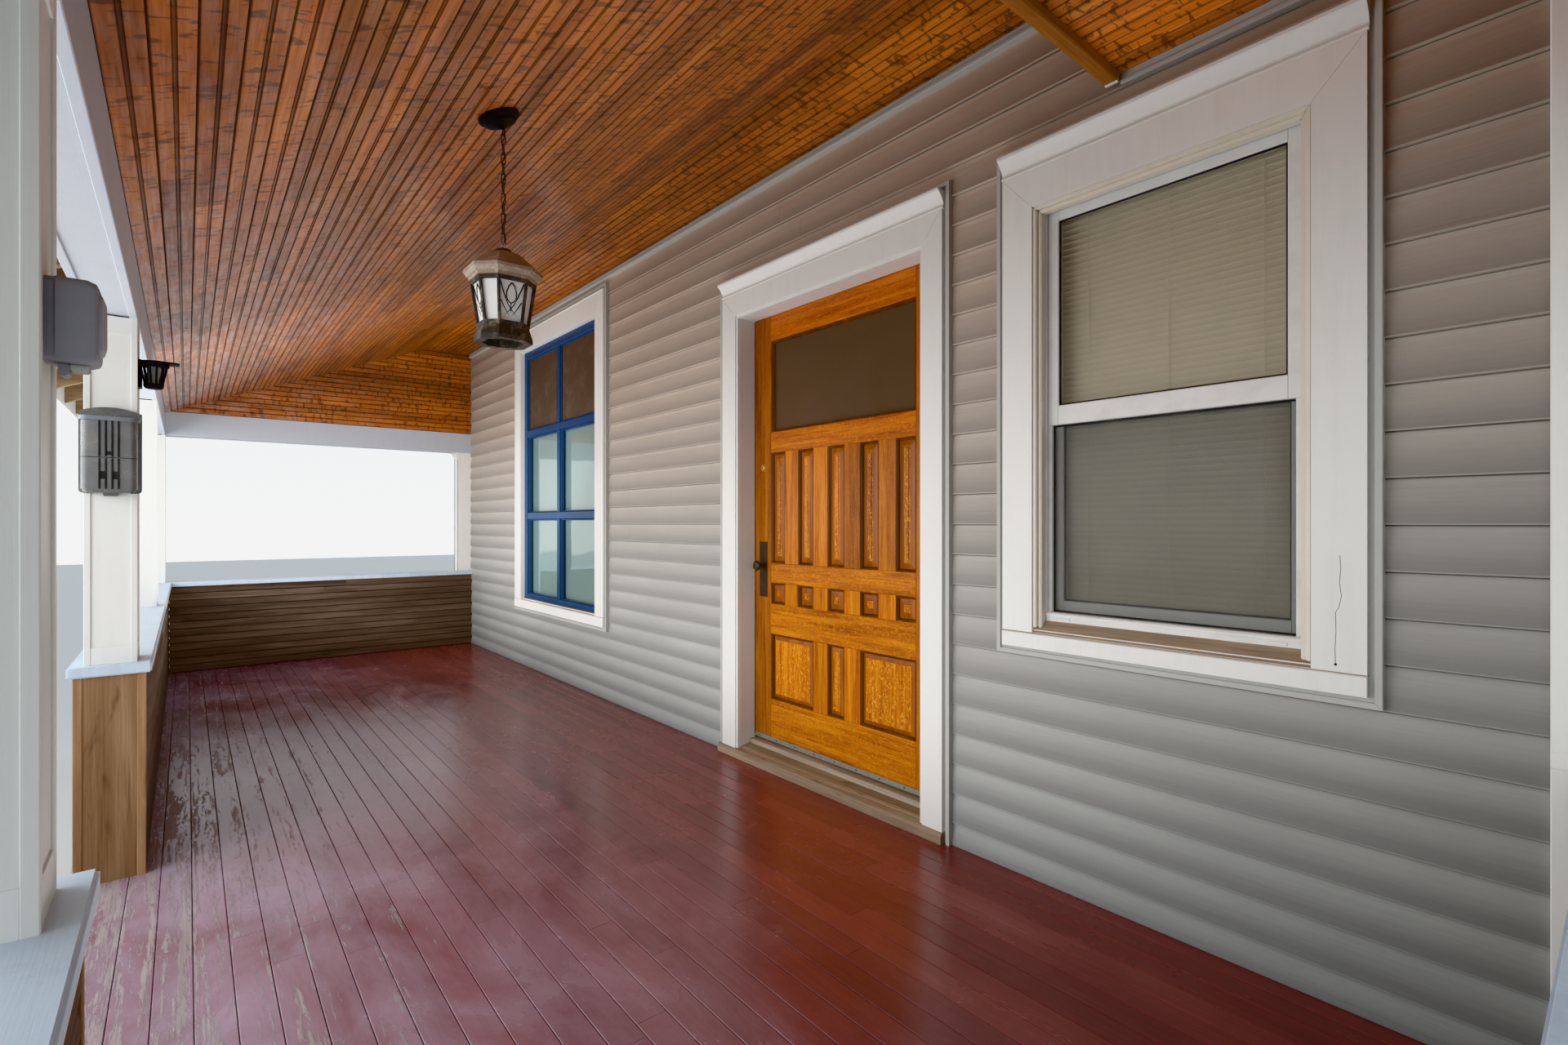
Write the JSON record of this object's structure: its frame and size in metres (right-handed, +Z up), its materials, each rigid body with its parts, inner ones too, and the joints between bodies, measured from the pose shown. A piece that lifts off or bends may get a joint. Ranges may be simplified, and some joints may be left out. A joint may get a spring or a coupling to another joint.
{
  "type": "front porch",
  "caption": "Covered timber front porch with half walls, boxed posts, sloped bead board ceiling, a strip of sided house wall, a hinged oak door, windows and a hanging lantern.",
  "frame": {"origin": "on the ground, under the middle of the whole porch", "axes": "+X along the house wall towards the porch's near end, +Y into the house, +Z up"},
  "size_m": [8.46, 3.357, 3.9805],
  "materials": {
    "masonry": "rough",
    "rough_timber": "rough sawn",
    "deck_paint": "worn satin maroon paint",
    "stained_boards": "brown stain",
    "white_trim": "satin white paint",
    "cap_paint": "weathered pale paint",
    "bead_board": "orange brown stain",
    "shingles": "granular",
    "plaster": "plain interior face",
    "siding": "taupe grey, low sheen",
    "weathered_wood": "bare and weathered",
    "dark_metal": "dark aged finish",
    "oak": "honey varnish",
    "glass": "clear",
    "white_vinyl": "satin",
    "blind": "slatted blind",
    "blue_paint": "satin blue paint",
    "bronze": "dark bronze with dust",
    "frosted_glass": "leaded, frosted",
    "gray_plastic": "dark grey",
    "smoked_plastic": "smoked"
  },
  "bodies": {
    "porch": {"foundation": "masonry", "piers": "masonry", "rim_beam": "rough_timber", "floor_joists": "rough_timber", "deck": "deck_paint", "skirt": "stained_boards", "stringers": "rough_timber", "risers": "white_trim", "stair_treads": "deck_paint", "front_half_walls": "stained_boards", "end_half_walls": "stained_boards", "front_caps": "cap_paint", "end_caps": "cap_paint", "posts": "white_trim", "pilasters": "white_trim", "front_beam": "white_trim", "end_beams": "white_trim", "gable_panels": "bead_board", "ceiling_slope": "bead_board", "ceiling_flat": "bead_board", "ceiling_drop": "bead_board", "rafters": "rough_timber", "roof_deck": "shingles", "fascia": "white_trim", "rake_boards": "white_trim", "wall_near": "plaster", "wall_far": "plaster", "wall_over_door": "plaster", "siding": "siding", "corner_board": "white_trim", "door_casing": "white_trim", "door_frame": "white_trim", "door_sill": "weathered_wood", "jamb_hinges": "dark_metal", "window_casing": "white_trim", "window_frame": "white_vinyl", "window_glass": "glass", "window_blind": "blind", "blue_window_casing": "white_trim", "blue_window_frame": "blue_paint", "blue_window_glass": "glass", "lantern_canopy": "bronze", "lantern_chain": "bronze", "lantern_roof": "bronze", "lantern_cage": "bronze", "lantern_glass": "frosted_glass", "sensor_box": "gray_plastic", "letter_box": "smoked_plastic", "cage_lamp": "gray_plastic"},
    "front_door": {"door_leaf": "oak", "door_panels": "oak", "door_glass": "glass", "door_lock": "dark_metal", "door_hinges": "dark_metal"}
  },
  "joints": [
    {"name": "front_door_hinge", "type": "hinge", "parent": "porch", "child": "front_door", "pos_m": [2.0605, 1.6285, 1.77], "axis": [0, 0, -1], "range_deg": [0, 100]}
  ]
}
